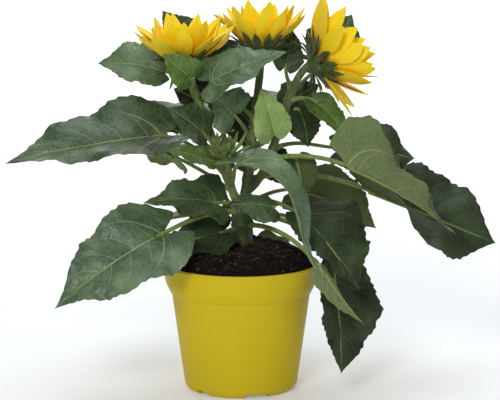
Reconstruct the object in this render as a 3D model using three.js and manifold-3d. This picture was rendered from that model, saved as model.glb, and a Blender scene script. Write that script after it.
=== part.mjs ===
// A sunflower plant with three open blooms and a bud, in a round nursery pot.
// Millimetres, +Z up. The origin is the centre of the pot's flat underside.
// The +X axis points to the right of the plant's front view, and -Y towards its front.

import * as THREE from 'three';
import { mergeVertices } from 'three/addons/utils/BufferGeometryUtils.js';
import Module from 'manifold-3d';

const wasm = await Module();
wasm.setup();

// ---------------------------------------------------------------- driving sizes

const CLEAR = 0.3; // gap between pieces that meet

const POT_HEIGHT = 106;
const RIM_RADIUS = 65;
const COLLAR_DROP = 16; // rim top to the end of the collar's straight side
const CHAMFER_DROP = 24.6; // rim top to the collar's lower edge
const WALL = 1.6;
const NECK_RADIUS = 57.6; // outside of the wall right under the collar
const FOOT_RADIUS = 47; // outside of the wall at the bottom
const FOOT_RING = 43;
const FLOOR_UNDERSIDE = 4; // height of the floor's underside in the drain channel
const BOSS_RADIUS = 13; // flat middle of the underside, at height 0
const POT_FACETS = 32;
const FRONT_NOTCH = 287; // turn of the wide notch in the foot ring
const NOTCH_HEIGHT = 3.8;
const NOTCHES = 6;
const DRAIN_HOLES = 4;
const DRAIN_CIRCLE = 27; // radius that the drain holes lie on

const SOIL_RISE = 16; // top of the soil above the rim
const SOIL_SHOULDER = 38; // radius where the soil starts to fall to the rim

const STEM_SIDES = 8;
const STEM_STEPS = 7;

const OUTER_PETALS = 12;
const INNER_PETALS = 7;
const BRACTS = 10;
const PETAL_THICK = 0.8;
const BRACT_THICK = 0.9;
const CALYX_RADIUS = 13;
const BLOOM_FACETS = 12;

const BUD_RADIUS = 6.5;
const BUD_BRACTS = 9;

// ---------------------------------------------------------------- materials

const finish = (color, roughness) => new THREE.MeshStandardMaterial({ color, roughness, metalness: 0 });
const potPlastic = finish(0xc9b43a, 0.45);
const peat = finish(0x2a1c17, 0.95);
const stemGreen = finish(0x5d7034, 0.7);
const leafGreen = finish(0x3f6132, 0.5);
const youngGreen = finish(0x7f9a4c, 0.6);
const petalYellow = finish(0xf6c821, 0.6);
const calyxGreen = finish(0x3c5a2b, 0.7);
const discBrown = finish(0x3a2415, 0.9);

// ---------------------------------------------------------------- small tools

const radians = THREE.MathUtils.degToRad;
const vec = (p) => new THREE.Vector3(p[0], p[1], p[2]);

// A direction from its azimuth (0 = +X, 90 = +Y) and its elevation, in degrees.
function heading([azimuth, elevation]) {
  const flat = Math.cos(radians(elevation));
  const a = radians(azimuth);
  return new THREE.Vector3(flat * Math.cos(a), flat * Math.sin(a), Math.sin(radians(elevation)));
}

// The part of a direction that is square to an axis, as a unit vector.
const squareTo = (axis, v) => v.clone().addScaledVector(axis, -v.dot(axis)).normalize();

// Moves every vertex of a three.js geometry by a function of its place.
function reshape(geometry, place) {
  const at = geometry.attributes.position;
  const p = new THREE.Vector3();
  for (let i = 0; i < at.count; i += 1) {
    const q = place(p.fromBufferAttribute(at, i));
    at.setXYZ(i, q.x, q.y, q.z);
  }
  return geometry;
}

function toSolid(geometry) {
  geometry.deleteAttribute('normal');
  geometry.deleteAttribute('uv');
  const merged = mergeVertices(geometry, 1e-4);
  return new wasm.Manifold(new wasm.Mesh({
    numProp: 3,
    vertProperties: new Float32Array(merged.attributes.position.array),
    triVerts: new Uint32Array(merged.index.array),
  }));
}

function toGeometry(solid) {
  const mesh = solid.getMesh();
  const geometry = new THREE.BufferGeometry();
  geometry.setAttribute('position', new THREE.BufferAttribute(mesh.vertProperties, 3));
  geometry.setIndex(new THREE.BufferAttribute(mesh.triVerts, 1));
  geometry.computeVertexNormals();
  return geometry;
}

// A sheet 2 wide, 1 long and 1 thick. The quads of both its faces are split along the same diagonal,
// so that it stays as thick everywhere when it is bent.
function flatSheet(across, steps) {
  const sheet = new THREE.BoxGeometry(2, 1, 1, across, steps, 1);
  const corners = sheet.index.array;
  const underside = sheet.groups[5];
  for (let i = underside.start; i < underside.start + underside.count; i += 6) {
    const [a, b, d, , c] = corners.slice(i, i + 5);
    corners.set([a, b, c, a, c, d], i);
  }
  return sheet;
}

// The largest body of a cut solid: the scraps of a cut are dropped.
function largest(solid) {
  const bodies = solid.decompose();
  return bodies.reduce((best, body) => (body.volume() > best.volume() ? body : best));
}

const plant = new THREE.Group();

function node(name, solid, material) {
  const mesh = new THREE.Mesh(toGeometry(solid), material);
  mesh.name = name;
  plant.add(mesh);
}

// A round limb along a curve, tapering from one radius to the other.
// grow adds to its radius and its ends.
function limb(curve, [startRadius, endRadius], sides, steps, grow = 0) {
  const rod = new THREE.CylinderGeometry(endRadius + grow, startRadius + grow, 1, sides, steps);
  const chord = curve.getPoint(1).sub(curve.getPoint(0)).normalize();
  const level = Math.abs(chord.x) < 0.7 ? new THREE.Vector3(1, 0, 0) : new THREE.Vector3(0, 1, 0);
  const aside = squareTo(chord, level);
  return toSolid(reshape(rod, (p) => {
    const t = THREE.MathUtils.clamp(p.y + 0.5, 0, 1);
    const along = curve.getTangent(t);
    const across = squareTo(along, aside);
    const deep = new THREE.Vector3().crossVectors(across, along);
    let longer = 0;
    if (t === 0) longer = -grow;
    if (t === 1) longer = grow;
    return curve.getPoint(t)
      .addScaledVector(across, p.x)
      .addScaledVector(deep, p.z)
      .addScaledVector(along, longer);
  }));
}

const lathe = (outline, facets) => {
  const points = outline.map(([r, z]) => new THREE.Vector2(r, z));
  return new THREE.LatheGeometry(points, facets).rotateX(Math.PI / 2);
};

// ---------------------------------------------------------------- pot and soil

const wallOutside = (z) => {
  const top = POT_HEIGHT - CHAMFER_DROP;
  return FOOT_RADIUS + (NECK_RADIUS - FOOT_RADIUS) * (z - 5) / (top - 5);
};

function pot() {
  const chamfer = POT_HEIGHT - CHAMFER_DROP;
  const collar = POT_HEIGHT - COLLAR_DROP;
  const inside = (z) => wallOutside(z) - WALL;
  const shell = toSolid(lathe([
    [0, 0],
    [BOSS_RADIUS, 0],
    [BOSS_RADIUS + 1, FLOOR_UNDERSIDE],
    [FOOT_RING - 3, FLOOR_UNDERSIDE],
    [FOOT_RING - 2.4, 0],
    [FOOT_RING, 0],
    [FOOT_RADIUS - 1.2, 2.2],
    [FOOT_RADIUS, 5],
    [NECK_RADIUS, chamfer],
    [RIM_RADIUS - 2.3, collar],
    [RIM_RADIUS - 0.2, POT_HEIGHT - 1.6],
    [RIM_RADIUS - 0.6, POT_HEIGHT - 0.4],
    [RIM_RADIUS - 1.6, POT_HEIGHT],
    [RIM_RADIUS - 2.7, POT_HEIGHT - 0.6],
    [RIM_RADIUS - 3.2, POT_HEIGHT - 2],
    [RIM_RADIUS - 4.8, collar],
    [inside(chamfer - 2), chamfer - 2],
    [inside(8), 8],
    [FOOT_RING - 2, FLOOR_UNDERSIDE + WALL],
    [0, FLOOR_UNDERSIDE + WALL],
  ], POT_FACETS));
  let body = shell;
  // Notches in the foot ring let water out, one of them at the front.
  for (let i = 0; i < NOTCHES; i += 1) {
    const wide = i === 0 ? 20 : 12;
    const notch = new THREE.BoxGeometry(14, wide, 2 * NOTCH_HEIGHT);
    notch.translate(FOOT_RING, 0, 0);
    notch.rotateZ(radians(FRONT_NOTCH + 360 / NOTCHES * i));
    body = body.subtract(toSolid(notch));
  }
  // Drain holes through the floor.
  for (let i = 0; i < DRAIN_HOLES; i += 1) {
    const hole = new THREE.CylinderGeometry(4, 4, 20, 10).rotateX(Math.PI / 2);
    hole.translate(DRAIN_CIRCLE, 0, FLOOR_UNDERSIDE);
    hole.rotateZ(radians(360 / DRAIN_HOLES * (i + 0.5)));
    body = body.subtract(toSolid(hole));
  }
  return body;
}

// Height of the soil at a radius: nearly level in the middle, and falling to the rim.
function soilHeight(radius) {
  const slope = RIM_RADIUS - 4 - SOIL_SHOULDER;
  const fall = THREE.MathUtils.clamp((radius - SOIL_SHOULDER) / slope, 0, 1);
  const crown = POT_HEIGHT + SOIL_RISE - 3 * Math.min(radius / SOIL_SHOULDER, 1);
  return crown - (SOIL_RISE - 2.5) * fall * fall;
}

function soil() {
  const gap = WALL + CLEAR;
  const collar = POT_HEIGHT - COLLAR_DROP;
  const chamfer = POT_HEIGHT - CHAMFER_DROP - 2;
  const outline = [
    [0, FLOOR_UNDERSIDE + gap],
    [FOOT_RING - 2.6, FLOOR_UNDERSIDE + gap],
    [wallOutside(8) - gap - 0.2, 8.6],
    [wallOutside(chamfer) - gap - 0.2, chamfer],
    [RIM_RADIUS - 5.3, collar],
    [RIM_RADIUS - 3.8, POT_HEIGHT - 2],
  ];
  for (const radius of [60.6, 53, 45, 36, 20, 0]) {
    outline.push([radius, soilHeight(radius)]);
  }
  return toSolid(lathe(outline, POT_FACETS));
}

// ---------------------------------------------------------------- stems

// Each stem leaves its start in one direction and reaches its end in another.
const stems = {
  main: { start: [2, 0, 108], out: [0, 0, 18], end: [0, 0, 160], into: [-1, 0, 18],
    radius: [7.2, 6.6] },
  left: { start: [-3, -1, 154], out: [-8, -1, 22], end: [-45, -8, 267], into: [-10, -2, 24],
    radius: [3.5, 2.9] },
  middle: { start: [2, 1, 154], out: [5, 0, 28], end: [17, 8, 276], into: [3, 2, 30],
    radius: [4.2, 2.9] },
  right: { start: [5, 1, 165], out: [24, -2, 14], end: [56, 2, 269], into: [20, 0, 10],
    radius: [3.6, 2.9] },
  shoot: { start: [-10, -2, 174], out: [2, -6, 10], end: [-11, -22, 196], into: [0, -3, 10],
    radius: [2.4, 2.4] },
};

for (const stem of Object.values(stems)) {
  const start = vec(stem.start);
  const end = vec(stem.end);
  stem.curve = new THREE.CubicBezierCurve3(
    start, start.clone().add(vec(stem.out)), end.clone().sub(vec(stem.into)), end);
  stem.solid = limb(stem.curve, stem.radius, STEM_SIDES, STEM_STEPS);
  stem.grown = limb(stem.curve, stem.radius, STEM_SIDES, STEM_STEPS, CLEAR);
}

// The point of a stem's middle line at a height.
function stemAt(stem, height) {
  let low = 0;
  let high = 1;
  for (let i = 0; i < 30; i += 1) {
    const mid = (low + high) / 2;
    if (stem.curve.getPoint(mid).z < height) low = mid;
    else high = mid;
  }
  return stem.curve.getPoint(low);
}

// ---------------------------------------------------------------- leaves

// Each leaf is told by where its stalk leaves a stem (foot is a height), where its blade starts and
// ends, how wide it is, and which way its top side faces. fold lifts the left and right halves, bow
// lifts the midrib at a third and two thirds of its length, flat lessens the fold towards the tip (below
// 0 it deepens it), curl bends both margins further and wave ripples them. shoulder is the widest place
// as a share of the length, share narrows the left and right halves, and twist turns the tip about the
// midrib. stalk is the stalk's radius, and lift is how far it climbs before it turns outwards.
const usual = {
  fold: [18, 18], bow: [0.1, 0.08], flat: 0.5, curl: -12, wave: 0.05, shoulder: 0.24, share: [1, 1], twist: 0,
  lift: 0.35, stalk: 1.9,
};

const leaves = [
  { name: 'leaf_left_high', stem: 'left', foot: 178, base: [-61, -22, 215], tip: [-189, -48, 195],
    width: 78, face: [270, 58], fold: [24, 24], bow: [0.02, 0.06], share: [0.8, 1] },
  { name: 'leaf_left_rear', stem: 'main', foot: 156, base: [-54, 21, 190], tip: [-112, 48, 204],
    width: 58, face: [95, 45], fold: [16, 16], bow: [0.08, 0.05] },
  { name: 'leaf_left_low', stem: 'main', foot: 147, base: [-61, -48, 139], tip: [-147, -88, 85],
    width: 74, face: [268, 42], fold: [12, 18], bow: [0.1, 0.1], stalk: 2.4 },
  { name: 'leaf_left_small', stem: 'main', foot: 152, base: [-19, -18, 158], tip: [-79, -34, 161],
    width: 48, face: [280, 62], fold: [4, 34], shoulder: 0.12 },
  { name: 'leaf_on_soil', stem: 'main', foot: 133, base: [-14, -14, 133], tip: [-66, -34, 122],
    width: 48, face: [280, 70], fold: [-2, 28], bow: [0.06, 0.02] },
  { name: 'leaf_right_hanging', stem: 'main', foot: 143, base: [76, -28, 108], tip: [82, -42, 21],
    width: 76, face: [290, 20], fold: [0, 30], bow: [0.04, 0.08], flat: 0.1, share: [1, 0.5],
    stalk: 2.2, lift: 0.7, shoulder: 0.45 },
  { name: 'leaf_right_folded', stem: 'main', foot: 136, base: [66, -66, 110], tip: [97, -90, 74],
    width: 24, face: [110, -20], fold: [50, 50], stalk: 2.2, lift: 0.5, shoulder: 0.1, flat: -0.5,
    bow: [0.1, 0.1] },
  { name: 'leaf_front_glossy', stem: 'left', foot: 170, base: [-6, -50, 196], tip: [66, -76, 108],
    width: 34, face: [310, 38], fold: [16, 20], bow: [0.66, -0.1], lift: 0, twist: -20, flat: -1.4,
    shoulder: 0.2 },
  { name: 'leaf_right_dark', stem: 'main', foot: 158, base: [50, -26, 149], tip: [96, -60, 94],
    width: 88, face: [290, 30], fold: [4, 10], stalk: 2.2, flat: 0.1, share: [1, 0.4] },
  { name: 'leaf_right_high', stem: 'middle', foot: 187, base: [84, -23, 191], tip: [175, -38, 135],
    width: 86, face: [90, 85], fold: [54, 84], flat: 0.95, stalk: 2.3, bow: [0.06, 0.06],
    shoulder: 0.06, wave: 0.06 },
  { name: 'leaf_right_far', stem: 'middle', foot: 174, base: [104, 30, 162], tip: [214, 28, 116],
    width: 92, face: [268, 60], fold: [4, 80], flat: 1, stalk: 2.3, bow: [0.0, 0.0], shoulder: 0.5,
    twist: 36 },
  { name: 'leaf_right_under', stem: 'main', foot: 151, base: [52, 40, 159], tip: [116, 70, 121],
    width: 66, face: [100, 40], fold: [14, 14] },
  { name: 'leaf_right_inner', stem: 'middle', foot: 181, base: [46, -2, 192], tip: [51, -2, 156],
    width: 32, face: [60, 10], fold: [20, 20] },
  { name: 'leaf_top_pale', stem: 'middle', foot: 223, base: [-24, -38, 260], tip: [37, -46, 285],
    width: 46, face: [278, 48], fold: [12, 20], bow: [0.08, 0.06], shoulder: 0.1 },
  { name: 'leaf_top_curled', stem: 'left', foot: 250, base: [-40, -38, 263], tip: [-62, -50, 284],
    width: 28, face: [250, 30], fold: [20, 20] },
  { name: 'leaf_middle_blue', stem: 'middle', foot: 204, base: [-5, -24, 231], tip: [-23, -32, 248],
    width: 44, face: [275, 30], fold: [16, 16] },
  { name: 'leaf_left_glossy', stem: 'left', foot: 196, base: [-31, -24, 217], tip: [-59, -30, 238],
    width: 38, face: [270, 50], fold: [20, 20] },
  { name: 'leaf_left_level', stem: 'left', foot: 184, base: [-25, -46, 197], tip: [-59, -56, 207],
    width: 28, face: [270, 60], fold: [16, 10] },
  { name: 'leaf_young', stem: 'middle', foot: 196, base: [26, -14, 214], tip: [16, -18, 252],
    width: 34, face: [280, 20], fold: [30, 12], young: true },
  { name: 'leaf_round', stem: 'right', foot: 222, base: [47, 8, 233], tip: [55, -4, 202],
    width: 42, face: [300, 30], fold: [-10, -10], bow: [0.15, 0.15] },
  { name: 'leaf_front_small', stem: 'main', foot: 164, base: [27, -32, 157], tip: [-12, -44, 161],
    width: 34, face: [270, 50], fold: [-4, -14] },
  { name: 'leaf_bloom_left', stem: 'left', foot: 254, base: [-66, 10, 264], tip: [-118, 16, 269],
    width: 44, face: [268, 45], fold: [20, 66], bow: [0.1, 0.1] },
  { name: 'leaf_bloom_right', stem: 'right', foot: 240, base: [60, -8, 241], tip: [88, -18, 211],
    width: 26, face: [290, 40], fold: [20, 20] },
  { name: 'leaf_top_right', stem: 'right', foot: 244, base: [72, 57, 271], tip: [94, 70, 305],
    width: 50, face: [290, 20], fold: [10, 10], lift: 0.1 },
  { name: 'leaf_top_dark', stem: 'left', foot: 238, base: [-22, 20, 272], tip: [-2, 30, 286],
    width: 32, face: [270, 40], fold: [16, 16] },
  { name: 'leaf_top_grey', stem: 'right', foot: 246, base: [37, 20, 266], tip: [43, 30, 296],
    width: 26, face: [280, 10], fold: [20, 20] },
  { name: 'leaf_bloom_rear', stem: 'left', foot: 247, base: [-40, 37, 278], tip: [-66, 48, 310],
    width: 36, face: [260, 40], fold: [14, 14] },
  { name: 'leaf_right_top', stem: 'right', foot: 241, base: [38, 30, 233], tip: [66, 34, 250],
    width: 34, face: [280, 50], fold: [16, 16] },
  { name: 'leaf_left_dark', stem: 'left', foot: 222, base: [-22, 4, 242], tip: [-43, -6, 257],
    width: 26, face: [280, 40], fold: [16, 16] },
  { name: 'leaf_left_notched', stem: 'left', foot: 229, base: [-38, 14, 240], tip: [-56, 18, 248],
    width: 20, face: [270, 30], fold: [10, 10] },
  { name: 'leaf_centre_dark', stem: 'middle', foot: 212, base: [14, 22, 212], tip: [-14, 32, 240],
    width: 46, face: [275, 30], fold: [14, 14] },
  { name: 'leaf_centre_low', stem: 'middle', foot: 190, base: [22, 20, 192], tip: [36, 24, 166],
    width: 34, face: [300, 30], fold: [14, 14] },
  { name: 'leaf_back_middle', stem: 'middle', foot: 176, base: [0, 56, 215], tip: [-10, 150, 200],
    width: 74, face: [90, 75], fold: [16, 16], lift: 0.2 },
  { name: 'leaf_back_high_right', stem: 'right', foot: 215, base: [32, 50, 228], tip: [75, 132, 222],
    width: 62, face: [60, 70], fold: [16, 16] },
  { name: 'leaf_back_high_left', stem: 'left', foot: 206, base: [-34, 48, 226], tip: [-70, 126, 214],
    width: 62, face: [120, 70], fold: [16, 16] },
  { name: 'leaf_back_low', stem: 'main', foot: 140, base: [10, 76, 110], tip: [16, 112, 44],
    width: 64, face: [90, 40], fold: [14, 14], lift: 0.6 },
  { name: 'leaf_back_low_left', stem: 'main', foot: 145, base: [-34, 74, 112], tip: [-58, 112, 54],
    width: 58, face: [120, 40], fold: [14, 14], lift: 0.6 },
  { name: 'leaf_left_under', stem: 'main', foot: 137, base: [-62, 30, 136], tip: [-112, 86, 94],
    width: 56, face: [140, 50], fold: [14, 14], lift: 0.5 },
  { name: 'leaf_right_back', stem: 'main', foot: 138, base: [58, 64, 126], tip: [100, 122, 84],
    width: 62, face: [50, 50], fold: [14, 14], lift: 0.5 },
  { name: 'leaf_right_rear', stem: 'right', foot: 200, base: [84, 46, 194], tip: [147, 54, 184],
    width: 60, face: [280, 45], fold: [10, 10], shoulder: 0.5 },
  { name: 'leaf_left_back', stem: 'left', foot: 190, base: [-52, 56, 206], tip: [-108, 118, 200],
    width: 62, face: [130, 60], fold: [16, 16] },
];

const LARGE = 60; // blades over this length have more facets
const LOBE = 0.16; // how far the lobes reach back past the stalk
const STALK_SIDES = 4;
const STALK_END = 0.08; // where the stalk ends, under the midrib
const RIPPLES = 4.8; // half waves along each margin

// Half width of a blade, from 0 to 1, along its length.
function outline(s, shoulder) {
  if (s < shoulder) {
    return 0.38 + 0.62 * Math.sin(Math.PI / 2 * s / shoulder);
  }
  const t = (s - shoulder) / (1 - shoulder);
  return Math.max((1 - t) ** 1.3 * (1 + 1.3 * t), 0.02);
}

// The midrib's curve, the direction that the top side faces and the length of a blade.
function bladeFrame(leaf) {
  const base = vec(leaf.base);
  const chord = vec(leaf.tip).sub(base);
  const length = chord.length();
  const face = squareTo(chord.clone().normalize(), heading(leaf.face));
  const control = (share, bow) => base.clone()
    .addScaledVector(chord, share)
    .addScaledVector(face, bow * length);
  const curve = new THREE.CubicBezierCurve3(
    base, control(0.33, leaf.bow[0]), control(0.67, leaf.bow[1]), vec(leaf.tip));
  return { curve, face, length };
}

// A point of the blade's middle surface: s runs from stalk to tip, u from the right margin (-1)
// over the midrib (0) to the left margin (1).
function bladePoint(leaf, frame, s, u) {
  const half = leaf.width / 2 * outline(s, leaf.shoulder) * (u > 0 ? leaf.share[0] : leaf.share[1]);
  const reach = Math.abs(u);
  const along = s - LOBE * reach ** 1.5 * (1 - s) ** 3;
  const t = Math.max(along, 0);
  const forward = frame.curve.getTangent(t);
  const up = squareTo(forward, frame.face).applyAxisAngle(forward, radians(leaf.twist * s));
  const left = new THREE.Vector3().crossVectors(up, forward);
  const fold = (u > 0 ? leaf.fold[0] : leaf.fold[1]) * (1 - leaf.flat * s);
  const angle = radians(fold + leaf.curl * reach / 2);
  const phase = (u > 0 ? 1 : 2.8) + leaf.name.length;
  const wave = Math.sin(Math.PI * RIPPLES * s + phase) * Math.min(1, 3 * (1 - s));
  const ripple = leaf.wave * leaf.width * reach * reach * wave;
  return frame.curve.getPoint(t)
    .addScaledVector(forward, Math.min(along, 0) * frame.length)
    .addScaledVector(left, Math.sign(u) * reach * half * Math.cos(angle))
    .addScaledVector(up, reach * half * Math.sin(angle) + ripple);
}

function blade(leaf, frame) {
  const sheet = flatSheet(4, frame.length > LARGE ? 5 : 4);
  const thick = 0.011 * frame.length + 0.4;
  const [ds, du] = [0.01, 0.04]; // steps that the slope of the blade is measured over
  return toSolid(reshape(sheet, (p) => {
    const s = p.y + 0.5;
    const u = p.x;
    const at = (alongIt, acrossIt) => bladePoint(leaf, frame,
      THREE.MathUtils.clamp(alongIt, 0, 1), THREE.MathUtils.clamp(acrossIt, -1, 1));
    const lengthwise = at(s + ds, u).sub(at(s - ds, u));
    const crosswise = at(s, u + du).sub(at(s, u - du));
    const normal = crosswise.cross(lengthwise).normalize();
    return at(s, u).addScaledVector(normal, p.z * thick);
  }));
}

function stalkCurve(leaf, frame) {
  const foot = stemAt(stems[leaf.stem], leaf.foot);
  const end = frame.curve.getPoint(STALK_END);
  const span = end.distanceTo(foot);
  const out = end.clone().sub(foot).normalize();
  out.z += leaf.lift;
  out.normalize();
  return new THREE.CubicBezierCurve3(
    foot, foot.clone().addScaledVector(out, span * 0.38),
    end.clone().addScaledVector(frame.curve.getTangent(STALK_END), -span * 0.34), end);
}

function leafSolid(leaf) {
  const frame = bladeFrame(leaf);
  const steps = frame.length > LARGE ? 5 : 4;
  const stalk = limb(stalkCurve(leaf, frame), [leaf.stalk, leaf.stalk * 0.7], STALK_SIDES, steps);
  let solid = blade(leaf, frame).add(stalk);
  for (const stem of Object.values(stems)) {
    solid = solid.subtract(stem.grown);
  }
  return largest(solid);
}

// ---------------------------------------------------------------- blooms

// A petal or bract, in its bloom's own frame with the axis along +Z: it starts at a radius and a
// height, leaves at a pitch above the level, and bends by bend degrees on its way out. trough
// raises both its edges, and roll raises one of them.
function ray({
  length, width, thick, radius, height, pitch, bend, turn, across = 1, steps = 2, trough = 0, roll = 0,
}) {
  return toSolid(reshape(flatSheet(across, steps), (p) => {
    const s = p.y + 0.5;
    const angle = radians(pitch - bend * s / 2);
    const swell = Math.sin(Math.PI * Math.min(0.06 + 0.94 * s, 0.985)) ** 0.75;
    const wide = width / 2 * Math.max(swell, 0.12);
    const out = length * s * Math.cos(angle);
    const rise = length * s * Math.sin(angle) + (Math.abs(p.x) * trough - p.x * roll) * wide;
    return new THREE.Vector3(radius + out, -p.x * wide, height + rise + p.z * thick)
      .applyAxisAngle(new THREE.Vector3(0, 0, 1), radians(turn));
  }));
}

// A repeatable scatter of numbers from -1 to 1.
const scatter = (i, salt) => {
  const x = Math.sin(i * 12.9898 + salt * 78.233) * 43758.5453;
  return 2 * (x - Math.floor(x)) - 1;
};

function placeOn(solid, bloom) {
  const turn = new THREE.Quaternion().setFromUnitVectors(new THREE.Vector3(0, 0, 1), heading(bloom.axis));
  const m = new THREE.Matrix4().compose(vec(bloom.base), turn, new THREE.Vector3(1, 1, 1));
  return solid.transform(m.elements);
}

// How far a petal or bract of a bloom rises above its pitch at a turn.
const leanAt = (bloom, turn) => bloom.lean[1] * Math.max(Math.cos(radians(turn - bloom.lean[0])), 0);

function calyx(bloom) {
  let solid = toSolid(lathe([
    [0, -1.5], [3.6, -1.5], [5, 0.5], [10, 3], [CALYX_RADIUS, 7], [CALYX_RADIUS - 0.9, 7.4],
    [CALYX_RADIUS - 1.4, 5.4], [0, 4.6],
  ], BLOOM_FACETS));
  for (let i = 0; i < BRACTS; i += 1) {
    const turn = 360 / BRACTS * (i + 0.3);
    solid = solid.add(ray({
      length: 19 + 3 * scatter(i, bloom.salt),
      width: 5,
      thick: BRACT_THICK,
      radius: CALYX_RADIUS - 2.2,
      height: 4,
      pitch: bloom.pitch - 6 + leanAt(bloom, turn) + 4 * scatter(i, bloom.salt + 1),
      bend: 8,
      turn,
    }));
  }
  return solid;
}

function petals(bloom) {
  const inner = CALYX_RADIUS - 3.6;
  const outer = CALYX_RADIUS - 2;
  let solid = toSolid(lathe([
    [inner, 6], [outer, 6], [outer - 0.4, 10], [inner, 10], [inner, 6],
  ], BLOOM_FACETS));
  const layer = (count, pitch, height, shift, salt) => {
    for (let i = 0; i < count; i += 1) {
      const turn = 360 / count * (i + shift + 0.15 * scatter(i, salt + 6));
      solid = solid.add(ray({
        length: bloom.petal[0] * (0.94 + 0.08 * scatter(i, salt)),
        width: bloom.petal[1] * (1 + 0.12 * scatter(i, salt + 2)),
        thick: PETAL_THICK,
        radius: CALYX_RADIUS - 3,
        height,
        pitch: pitch + leanAt(bloom, turn) + 9 * scatter(i, salt + 4),
        bend: bloom.bend,
        turn,
        across: 2,
        steps: 3,
        trough: 0.22,
        roll: 0.2,
      }));
    }
  };
  layer(OUTER_PETALS, bloom.pitch, 8, 0, bloom.salt + 10);
  layer(INNER_PETALS, bloom.pitch + 22, 9.2, 0.5, bloom.salt + 20);
  return solid;
}

const disc = () => toSolid(lathe([
  [0, 6], [CALYX_RADIUS - 4, 6], [CALYX_RADIUS - 4, 9], [CALYX_RADIUS - 6, 11], [0, 11.8],
], BLOOM_FACETS));

// Each bloom is on the stem of its own name. axis is the azimuth and elevation that it faces, petal the
// length and width of a petal, and pitch how steeply the petals rise. lean raises the petals towards
// one turn by more, and salt picks their scatter.
const blooms = [
  { name: 'left', base: stems.left.end, axis: [250, 86], petal: [42, 15.5], pitch: 27, lean: [270, 15],
    bend: -12, salt: 1 },
  { name: 'middle', base: stems.middle.end, axis: [90, 86], petal: [42, 14.5], pitch: 35, lean: [270, 12],
    bend: -8, salt: 2 },
  { name: 'right', base: stems.right.end, axis: [10, 14], petal: [48, 18], pitch: 14, lean: [315, 40],
    bend: -10, salt: 3 },
];

// A closed bud in narrow bracts, on top of its shoot.
function bud() {
  const heart = new THREE.SphereGeometry(BUD_RADIUS, 6, 5).rotateX(Math.PI / 2);
  heart.scale(1, 1, 0.8).translate(0, 0, 4);
  let solid = toSolid(heart);
  for (let i = 0; i < BUD_BRACTS; i += 1) {
    solid = solid.add(ray({
      length: 18 + 4 * scatter(i, 31),
      width: 3.6,
      thick: BRACT_THICK,
      radius: 3,
      height: 2 + 2 * scatter(i, 33),
      pitch: 38 + 26 * scatter(i, 35),
      bend: -30,
      turn: 360 / BUD_BRACTS * i,
    }));
  }
  return placeOn(solid, { base: stems.shoot.end, axis: [270, 60] }).subtract(stems.shoot.grown);
}

// ---------------------------------------------------------------- assembly

node('pot', pot(), potPlastic);
node('soil', largest(soil().subtract(stems.main.grown)), peat);

node('stem_main', stems.main.solid, stemGreen);
node('stem_left', stems.left.solid.subtract(stems.main.grown), stemGreen);
node('stem_middle', stems.middle.solid.subtract(stems.main.grown), stemGreen);
node('stem_right', stems.right.solid.subtract(stems.middle.grown), stemGreen);
node('stem_bud', stems.shoot.solid.subtract(stems.left.grown), stemGreen);

for (const leaf of leaves) {
  node(leaf.name, leafSolid({ ...usual, ...leaf }), leaf.young ? youngGreen : leafGreen);
}

for (const bloom of blooms) {
  const cup = placeOn(calyx(bloom), bloom).subtract(stems[bloom.name].grown);
  node(`calyx_${bloom.name}`, largest(cup), calyxGreen);
  node(`petals_${bloom.name}`, placeOn(petals(bloom), bloom), petalYellow);
  node(`disc_${bloom.name}`, placeOn(disc(), bloom), discBrown);
}

node('bud', largest(bud()), youngGreen);

export default plant;
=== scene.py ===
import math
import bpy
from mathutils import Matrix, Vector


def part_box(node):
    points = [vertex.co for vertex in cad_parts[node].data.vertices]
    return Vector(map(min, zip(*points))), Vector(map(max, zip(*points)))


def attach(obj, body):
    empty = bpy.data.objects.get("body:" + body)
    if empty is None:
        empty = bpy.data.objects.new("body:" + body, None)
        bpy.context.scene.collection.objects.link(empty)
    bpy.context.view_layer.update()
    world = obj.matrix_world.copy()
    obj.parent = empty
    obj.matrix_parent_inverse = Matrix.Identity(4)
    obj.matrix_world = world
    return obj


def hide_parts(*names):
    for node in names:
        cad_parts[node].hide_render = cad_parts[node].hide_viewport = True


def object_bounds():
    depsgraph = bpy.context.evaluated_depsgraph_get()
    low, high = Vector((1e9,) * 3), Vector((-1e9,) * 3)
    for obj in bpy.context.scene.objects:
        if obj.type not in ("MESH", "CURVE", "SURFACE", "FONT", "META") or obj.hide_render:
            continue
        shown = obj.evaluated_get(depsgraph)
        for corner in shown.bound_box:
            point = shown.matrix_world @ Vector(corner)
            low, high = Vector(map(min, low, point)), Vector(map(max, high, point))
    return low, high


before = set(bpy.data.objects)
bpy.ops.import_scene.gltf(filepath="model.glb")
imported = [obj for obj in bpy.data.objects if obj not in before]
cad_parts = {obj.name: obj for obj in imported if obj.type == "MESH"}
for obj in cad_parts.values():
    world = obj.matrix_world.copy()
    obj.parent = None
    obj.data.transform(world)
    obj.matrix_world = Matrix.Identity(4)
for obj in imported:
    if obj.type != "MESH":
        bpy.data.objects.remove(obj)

# A sunflower plant with three open blooms and a bud, in a round nursery pot.
# Shapes are worked out in millimetres and made in metres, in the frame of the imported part: +Z is up,
# +X is to the right of the plant's front view, and the origin is the centre of the pot's underside.

from types import SimpleNamespace

import bpy
import numpy as np
from mathutils import Vector

MM = 0.001
PICTURE_MAP = "OFBake"  # the UV map that a piece's pattern is baked through
cad_box = [list(corner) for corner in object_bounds()]

# ---- small tools

NOISE_WAVES = 10  # crossing waves that make one smooth noise
CELL_ROOM = 0.06  # room round a grid's cell of the picture, as a share of the cell
RIM_STRIP = 0.004  # height of the strip of the picture that the rim of a sheet takes


def unit(v):
    return v / np.linalg.norm(v, axis=-1, keepdims=True)


def heading(azimuth, elevation):
    """A direction from its azimuth (0 = +X, 90 = +Y) and its elevation, in degrees."""
    a, e = math.radians(azimuth), math.radians(elevation)
    return np.array([math.cos(e) * math.cos(a), math.cos(e) * math.sin(a), math.sin(e)])


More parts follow.
